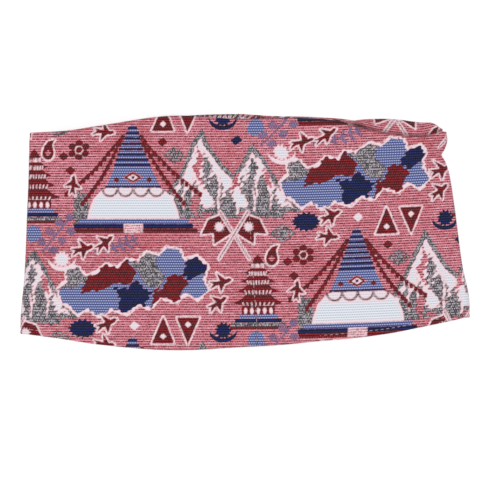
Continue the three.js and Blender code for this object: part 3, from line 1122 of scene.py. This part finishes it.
def make_band(cap):
    """The band: a closed ring of cloth. Its outer face is moved by soft swells on the front, a
    rolled hem at the rim, and a groove along each line of stitches and where the ends of the
    cloth meet behind. The pattern is laid out on the form before its dent."""
    form, sizes = cap.form, cap.sizes
    front, back, fold, rows = sizes.front_columns, sizes.back_columns, sizes.fold_columns, sizes.band_rows
    across, on_front, turns = form.ring_columns(back, front, fold)
    up = np.linspace(0, 1, rows)
    grid = form.band(across, on_front, turns, up)
    a, f = across[:, None], on_front[:, None]
    usual = form.height * USUAL_HEIGHT
    from_rim = (up * usual)[None, :] + 0 * a
    from_seam = usual - from_rim
    from_line = (a - stitched_line(up[None, :])) * form.rim / 2
    from_back = a * form.rim / 2
    hem = mm(sizes.hem_height)
    relief = groove(from_rim - hem, HEM_GROOVE) + groove(from_seam - SEAM_INSET, SEAM_GROOVE)
    swell = soft_relief(grid[..., 0], grid[..., 1]) * ease(1 - np.abs(a), 0.0, 0.12)
    roll = HEM_ROLL * ease(hem - from_rim, 0.0, 1.0)
    relief = relief + f * (swell + roll + groove(from_line, FRONT_GROOVE))
    relief = relief + (1 - f) * groove(from_back, BACK_GROOVE)

    def closed(surface):
        """The cloth's loops. The ring's last column lies on its first one."""
        ends, under = cloth_loops(surface[:-1], form.cloth, relief[:-1], True, sizes.edge_rows, INNER_ROWS)
        return np.concatenate((ends, ends[:1])), under

    loops, inside = closed(grid)
    even, _ = closed(Form(sizes, dented=False).band(across, on_front, turns, up))
    middle = back // 2 + fold + front // 2
    u, v = cloth_places(even, middle, even[middle, :, 0])
    values = yarn_values(u, v, inside)
    # Painted shade, through the crease attribute: the front seam's edge is darkest where the crown goes
    # down behind it, the groove of the upright line of stitches is shaded near the rim, and the groove
    # where the ends meet behind is shaded.
    seam_shade = f * (0.25 + 0.75 * crown_mouth(a))
    stitch_line_shade = 0.5 * f * bell(from_line, 0.9) * (1 - ease(up, 0.1, 0.25))
    back_join_shade = 0.45 * (1 - f) * bell(from_back, BACK_GROOVE[1])
    crease = np.zeros(u.shape)
    crease[:, :rows] = 0.5 * seam_shade * bell(from_seam, 1.2) + stitch_line_shade + back_join_shade
    crease[:, rows:rows + sizes.edge_rows] = 0.7 * seam_shade
    values["crease"] = crease
    places = np.stack((u, v), -1)
    mesh = shell_mesh("figured_band", cap.placed(loops), inside, True, sizes.edge_rows, places, values)
    piece = cap.cloth_piece(mesh, "band")
    girth = float(u[-1, 0] - u[0, 0]) * MM
    return piece


def make_crown(cap):
    """The crown: one sheet of cloth with the figured side into the fold, lapped against both
    walls. Its columns are closer together near the ends."""
    form, sizes = cap.form, cap.sizes
    rows = sizes.crown_rows
    even = np.linspace(-1, 1, sizes.crown_columns)
    across = CROWN_REACH * (even + 0.06 * np.sin(math.pi * even))
    around = np.linspace(1, -1, rows)
    grid = form.crown(across, around, CROWN_LAP)
    # Its swells are half as high as the band's, and closer together.
    fade = ease(1 - np.abs(around), 0.0, 0.25)[None, :]
    relief = fade * 0.5 * soft_relief(grid[..., 0] * 1.7 + 40, grid[..., 1] * 1.7)
    loops, inside = cloth_loops(grid, form.crown_cloth, relief, False, CROWN_EDGE_ROWS, rows)
    # Down from the front edge over the outer face.
    run = np.zeros(loops.shape[:2])
    steps = np.linalg.norm(np.diff(loops[:, :rows], axis=1), axis=-1)
    run[:, 1:rows] = np.cumsum(steps, axis=1)
    u, v = loops[..., 0] + CROWN_CUT[0], CROWN_CUT[1] + run
    values = yarn_values(u, v, inside)
    # Painted shade: the cloth is darkened where it comes out from under the front seam, most at the
    # crown's mouth.
    mouth = crown_mouth(across)[:, None]
    shade = (0.3 + 0.65 * mouth) * bell(np.maximum(run - 1.6, 0), 1.9 + 1.2 * mouth)
    values["crease"] = np.where(inside[None, :], 0, shade)
    places = np.stack((u, v), -1)
    mesh = shell_mesh("figured_crown", cap.placed(loops), inside, False, CROWN_EDGE_ROWS, places, values)
    piece = cap.cloth_piece(mesh, "crown")
    return piece


def stitches(centres, along, out, thread):
    """Sewn threads, one short spindle each: rings of points whose radius swells from nought
    at both tips to nearly even between them, carried along each stitch. thread holds a
    stitch's length, its width and its height out of the cloth."""
    length, width, height = thread
    stations, sides = 7, 6
    s = np.linspace(-1, 1, stations)[1:-1, None]
    swell = np.sqrt(1 - s**4)
    turn = np.linspace(0, 2 * math.pi, sides, endpoint=False)
    side = unit(np.cross(out, along))
    spine = centres[:, None, None] + along[:, None, None] * (s * length / 2)[..., None]
    ring = (
        side[:, None, None] * (swell * np.cos(turn) * width / 2)[..., None]
        + out[:, None, None] * (swell * np.sin(turn) * height / 2)[..., None]
    )
    body = (spine + ring).reshape(len(centres), -1, 3)
    tips = centres[:, None] + along[:, None] * (np.array([-1, 1]) * length / 2)[None, :, None]
    points = np.concatenate((tips, body), axis=1)
    # Points 0 and 1 are the tips, and each ring's points follow those of the one before it.
    k = np.arange(sides)
    k2 = (k + 1) % sides
    first = 2 + sides * np.arange(stations - 3)[:, None]
    a, b = first + k, first + k2
    c, d = a + sides, b + sides
    walls = [np.stack(corners, -1).reshape(-1, 3) for corners in ((a, b, d), (a, d, c))]
    last = points.shape[1] - sides
    near = np.stack((0 * k, 2 + k2, 2 + k), -1)
    far = np.stack((1 + 0 * k, last + k, last + k2), -1)
    faces = np.concatenate((*walls, near, far))
    starts = points.shape[1] * np.arange(len(centres))[:, None, None]
    return points.reshape(-1, 3), (faces[None] + starts).reshape(-1, 3)


def wall_frame(form, front, across, up, lift):
    """Points on a wall's outer face, with the directions across it, up it and out of it."""
    here = form.wall(front, across, up)
    step = 1e-3
    along = unit(form.wall(front, across + step, up) - form.wall(front, across - step, up))
    rising = unit(form.wall(front, across, up + step) - form.wall(front, across, up - step))
    out = unit(np.cross(along, rising)) * (1 if front else -1)
    return here + out * (form.cloth / 2 + lift), along, rising, out


def even_places(form, front, up, pitch, end):
    """Places across a wall that are one pitch apart along it, from -end to end."""
    fine = np.linspace(-end, end, 800)
    path = form.wall(front, fine, up + 0 * fine)
    run = np.concatenate(([0], np.cumsum(np.linalg.norm(np.diff(path, axis=0), axis=-1))))
    return np.interp(np.arange(pitch / 2, run[-1], pitch), run, fine)


def thread_piece(cap, name, parts, finish):
    """One mesh from several rows of stitches."""
    points = np.concatenate([p for p, _ in parts])
    starts = np.cumsum([0] + [len(p) for p, _ in parts])
    faces = np.concatenate([f + start for (_, f), start in zip(parts, starts)])
    mesh = new_mesh(name, cap.placed(points), faces)
    mesh.update(calc_edges=True)
    return finish_piece(mesh, None, "figured_cloth", cap.finish(finish))


def make_stitching(cap):
    """Running stitches above the rim and up the front's middle in pale thread, and whipped
    stitches over the back seam's edge, by turns in pale and in dark thread."""
    form, sizes = cap.form, cap.sizes
    pitch, length, width = mm(sizes.stitch_pitch), mm(sizes.stitch_length), mm(sizes.thread_width)
    height = width * THREAD_HEIGHT
    rng = np.random.default_rng(STITCH_SEED)
    parts = []
    # The hem's stitches lie in their groove, deeper on the side that rests on the table.
    for front, lift in ((0, -0.32), (1, -0.12)):
        across = even_places(form, front, 0.0, pitch, HEM_ROW_END)
        up = (mm(sizes.hem_height) + rng.normal(0, 0.06, across.size)) / (form.height * USUAL_HEIGHT)
        place, along, _, out = wall_frame(form, front, across, up, lift)
        parts.append(stitches(place, along, out, (length, width, height)))
    up = np.arange(pitch * 0.9, form.height - 4, pitch * LINE_PITCH) / (form.height * MIDDLE_HEIGHT)
    across = stitched_line(up) + rng.normal(0, 0.0006, up.size)
    place, _, rising, out = wall_frame(form, 1, across, up, 0.0)
    parts.append(stitches(place, rising, out, (length * 0.95, width, height)))
    across = even_places(form, 0, 1.0, pitch * SEAM_PITCH, SEAM_ROW_END)
    place = form.wall(0, across, 1.0 + 0 * across)
    rising = unit(place - form.wall(0, across, 0.99 + 0 * across))
    # Each thread leans across the edge, over the crown's lapped cloth. Away from the middle
    # the row runs a little lower.
    lean = 0.6 + rng.normal(0, 0.25, across.size)[:, None]
    slant = unit(rising + lean * np.array([1.0, 0.0, 0.0]))
    out = np.array([0.0, 0.0, 1.0]) + 0 * place
    middle = ease(across, -0.3, -0.2) * (1 - ease(across, 0.02, 0.12))
    over_edge = -0.35 + rng.normal(0, 0.15, across.size) - 1.2 * (1 - middle)
    place = place + rising * over_edge[:, None] + out * (form.cloth / 2 + form.crown_cloth)
    parts.append(stitches(place[1::2], slant[1::2], out[1::2], PALE_WHIP))
    dark = [stitches(place[::2], slant[::2], out[::2], DARK_WHIP)]
    thread_piece(cap, "running_stitches", parts, "pale thread")
    thread_piece(cap, "seam_stitches", dark, "dark thread")


# The stage

TABLE_REACH = 3.0
# Panels of light: name, place and size in metres, and power in watts. Each faces the origin.
PANELS = (
    ("key panel", (-0.6, -0.75, 0.85), 0.6, 1.6),
    ("fill panel", (0.8, 0.6, 1.0), 0.9, 1.2),
)
# The overhead light's spread in radians and its strength, and that of the room's own light.
SUN_ANGLE = 0.2
SUN_STRENGTH = 2.2
ROOM_STRENGTH = 0.4
# The camera's focal length and its sensor's width, in millimetres.
FOCAL_LENGTH = 300.0
SENSOR_WIDTH = 36.0
# The picture's middle in the frame, and the height that the picture's width is measured at.
PICTURE_MIDDLE = (-0.0032, -0.0052)
PICTURE_HEIGHT = 0.008


def stage_object(name, data):
    """An object in the scene that isn't part of the cap."""
    made = bpy.data.objects.new(name, data)
    bpy.context.scene.collection.objects.link(made)
    return made


def make_stage(cap):
    """A pale table, an even light from straight above, a panel of light at the lower left and
    one at the upper right, and a camera over the table with its picture's top towards the
    crown."""
    scene = bpy.context.scene
    r = TABLE_REACH
    mesh = bpy.data.meshes.new("table")
    mesh.from_pydata([(-r, -r, 0), (r, -r, 0), (r, r, 0), (-r, r, 0)], [], [(0, 1, 2, 3)])
    mesh.materials.append(floor_finish(cap.colours))
    stage_object("table", mesh)
    # The light from straight above is even over the whole table, and the cap hides its shadow.
    overhead = bpy.data.lights.new("overhead light", "SUN")
    overhead.angle, overhead.energy = SUN_ANGLE, SUN_STRENGTH
    stage_object("overhead light", overhead)
    for name, place, size, power in PANELS:
        light = bpy.data.lights.new(name, "AREA")
        light.size, light.energy = size, power
        holder = stage_object(name, light)
        holder.location = place
        holder.rotation_euler = (-holder.location).to_track_quat("-Z", "Y").to_euler()
    scene.world = scene.world or bpy.data.worlds.new("room")
    scene.world.use_nodes = True
    room = scene.world.node_tree.nodes["Background"].inputs
    room["Color"].default_value = (1.0, 1.0, 1.0, 1.0)
    room["Strength"].default_value = ROOM_STRENGTH
    scene.view_settings.view_transform = "Standard"
    lens = bpy.data.cameras.new("camera")
    lens.lens, lens.sensor_width = FOCAL_LENGTH, SENSOR_WIDTH
    camera = stage_object("camera", lens)
    height = cap.sizes.picture_width * FOCAL_LENGTH / SENSOR_WIDTH + PICTURE_HEIGHT
    camera.location = (*PICTURE_MIDDLE, height)
    scene.camera = camera


# The add-on


def millimetres(name, description, default):
    """A length property in metres, given in millimetres."""
    return bpy.props.FloatProperty(
        name=name, description=description, default=default * MM, unit="LENGTH", precision=5)


def count(name, description, default):
    """A whole number of columns or rows."""
    return bpy.props.IntProperty(name=name, description=description, default=default, min=2)


def tint(name, description, *screen):
    """A colour property from screen values from 0 to 255, kept as linear light."""
    linear = [v / 255 / 12.92 if v <= 10 else ((v / 255 + 0.055) / 1.055) ** 2.4 for v in screen]
    return bpy.props.FloatVectorProperty(
        name=name, description=description, subtype="COLOR", size=4, min=0, max=1,
        default=(*linear, 1.0))


class TopiSizes(bpy.types.PropertyGroup):
    """The cap's sizes and the fineness of its meshes."""

    rim_width: millimetres("Rim width", "Width of the flat cap along its rim", 285.0)
    seam_width: millimetres("Seam width", "Width of the flat cap along the crown's seam", 264.5)
    band_height: millimetres("Band height", "Height of the band where it is tallest", 148.0)
    seam_shift: millimetres("Seam shift", "How far the seam's middle lies beside the rim's", -4.3)
    band_cloth: millimetres("Band cloth", "Thickness of the band's wall", 1.8)
    crown_cloth: millimetres("Crown cloth", "Thickness of the crown's wall", 1.2)
    fold_gap: millimetres("Fold gap", "Air inside each side fold", 3.6)
    fold_lift: millimetres("Fold lift", "How far each side fold lifts off the table", 1.6)
    rim_spring: millimetres("Rim spring", "How far the front wall arches at the rim", 12.0)
    waist_spring: millimetres("Waist spring", "How far the front wall arches halfway up", 9.0)
    seam_spring: millimetres("Seam spring", "How far the front wall arches at the seam", 9.5)
    dent_depth: millimetres("Dent depth", "Depth of the dent in the right fold", 4.9)
    crown_tuck: millimetres("Crown tuck", "How deep the crown's middle is pushed in", 62.0)
    crown_crease: millimetres("Crown crease", "Radius of the crease in the crown", 1.2)
    hem_height: millimetres("Hem height", "From the rim to its line of stitches", 2.6)
    stitch_pitch: millimetres("Stitch pitch", "From one stitch to the next", 3.6)
    stitch_length: millimetres("Stitch length", "Length of one stitch", 2.2)
    thread_width: millimetres("Thread width", "Width of the sewing thread", 0.38)
    row_pitch: millimetres("Row pitch", "From one row of the weave to the next", 1.56)
    pick_pitch: millimetres("Pick pitch", "From one pick of the weave to the next", 1.5)
    picture_width: millimetres("Picture width", "How much of the table the picture takes in", 304.0)
    front_columns: count("Front columns", "Columns of faces over the front wall", 330)
    back_columns: count("Back columns", "Columns of faces over the back wall", 130)
    fold_columns: count("Fold columns", "Columns of faces round each side fold", 10)
    band_rows: count("Band rows", "Rows of faces up the band", 180)
    edge_rows: count("Edge rows", "Rows of faces round the rim and the seam's edge", 5)
    crown_columns: count("Crown columns", "Columns of faces along the crown", 260)
    crown_rows: count("Crown rows", "Rows of faces across the crown", 120)


class TopiColours(bpy.types.PropertyGroup):
    """The yarns' colours, and the lining's, the thread's, the table's and that of the painted shade at the
    seams.
    """

    rose_light: tint("Light rose", "Light rows of the ground", 219, 135, 149)
    rose_deep: tint("Deep rose", "Light rows where the ground is redder", 207, 113, 123)
    rose_pale: tint("Pale rose", "Pale flecks in the light rows", 242, 192, 206)
    rose_dark: tint("Dark rose", "Dark rows of the ground", 96, 32, 44)
    maroon: tint("Maroon", "Maroon yarn", 150, 36, 42)
    maroon_dark: tint("Dark maroon", "Maroon yarn in shade", 46, 4, 10)
    navy: tint("Navy", "Navy yarn", 32, 44, 108)
    navy_dark: tint("Dark navy", "Navy yarn in shade", 0, 0, 6)
    blue: tint("Blue", "Periwinkle yarn", 54, 66, 122)
    blue_pale: tint("Pale blue", "Pale crossings in the periwinkle", 178, 184, 214)
    hatch: tint("Hatched blue", "The blue of the hatched figures", 84, 92, 132)
    grey_dark: tint("Dark grey", "Dark flecks of the grey yarn", 60, 56, 60)
    grey_light: tint("Light grey", "Light flecks of the grey yarn", 176, 168, 175)
    white: tint("White", "White yarn", 217, 221, 228)
    white_edge: tint("Thin white", "White yarn in thin lines", 226, 198, 204)
    white_shade: tint("Shaded white", "White yarn between its rows", 158, 162, 176)
    # Painted shade: the colour that the crease attribute mixes in at the seams and grooves. The dark
    # thread also takes it between its plies.
    crease: tint("Crease", "Cloth in the shade of the crown's seam", 40, 14, 22)
    cotton: tint("Cotton", "Plain cotton inside", 226, 214, 196)
    cotton_dark: tint("Dark cotton", "Plain cotton in shade", 190, 174, 152)
    thread: tint("Thread", "Pale sewing thread", 214, 188, 190)
    thread_shade: tint("Thread shade", "Pale sewing thread between its plies", 150, 112, 118)
    table: tint("Table", "The pale table", 253, 253, 253)
    table_shade: tint("Table shade", "The table's clouds", 248, 248, 248)


class TOPI_OT_band(bpy.types.Operator):
    """Make the folded band of figured cloth"""

    bl_idname = "topi.band"
    bl_label = "Band"
    bl_options = {"REGISTER", "UNDO"}

    def execute(self, context):
        make_band(Cap(context.scene))
        return {"FINISHED"}


class TOPI_OT_crown(bpy.types.Operator):
    """Make the tucked crown"""

    bl_idname = "topi.crown"
    bl_label = "Crown"
    bl_options = {"REGISTER", "UNDO"}

    def execute(self, context):
        make_crown(Cap(context.scene))
        return {"FINISHED"}


class TOPI_OT_stitching(bpy.types.Operator):
    """Sew the hem, the front line and the seam"""

    bl_idname = "topi.stitching"
    bl_label = "Stitching"
    bl_options = {"REGISTER", "UNDO"}

    def execute(self, context):
        make_stitching(Cap(context.scene))
        return {"FINISHED"}


class TOPI_OT_stage(bpy.types.Operator):
    """Set the table, the lights and the camera"""

    bl_idname = "topi.stage"
    bl_label = "Stage"
    bl_options = {"REGISTER", "UNDO"}

    def execute(self, context):
        make_stage(Cap(context.scene))
        return {"FINISHED"}


class TOPI_PT_panel(bpy.types.Panel):
    """Lists the pieces, the sizes and the colours"""

    bl_idname = "TOPI_PT_panel"
    bl_label = "Folded topi"
    bl_space_type = "VIEW_3D"
    bl_region_type = "UI"
    bl_category = "Topi"

    def draw(self, context):
        for operator in OPERATORS:
            self.layout.operator(operator.bl_idname)
        for group in (context.scene.topi_sizes, context.scene.topi_colours):
            column = self.layout.column()
            for name in group.__annotations__:
                column.prop(group, name)


OPERATORS = (TOPI_OT_band, TOPI_OT_crown, TOPI_OT_stitching, TOPI_OT_stage)
CLASSES = (TopiSizes, TopiColours, *OPERATORS, TOPI_PT_panel)


def register():
    """Registers the classes, and hangs the sizes and the colours on the scene."""
    for cls in CLASSES:
        bpy.utils.register_class(cls)
    bpy.types.Scene.topi_sizes = bpy.props.PointerProperty(type=TopiSizes)
    bpy.types.Scene.topi_colours = bpy.props.PointerProperty(type=TopiColours)


def unregister():
    """Takes back what register did."""
    del bpy.types.Scene.topi_colours
    del bpy.types.Scene.topi_sizes
    for cls in reversed(CLASSES):
        bpy.utils.unregister_class(cls)


def main():
    """Makes the stage and the pieces."""
    register()
    bpy.ops.topi.stage()
    bpy.ops.topi.band()
    bpy.ops.topi.crown()
    bpy.ops.topi.stitching()


if __name__ == "__main__":
    main()
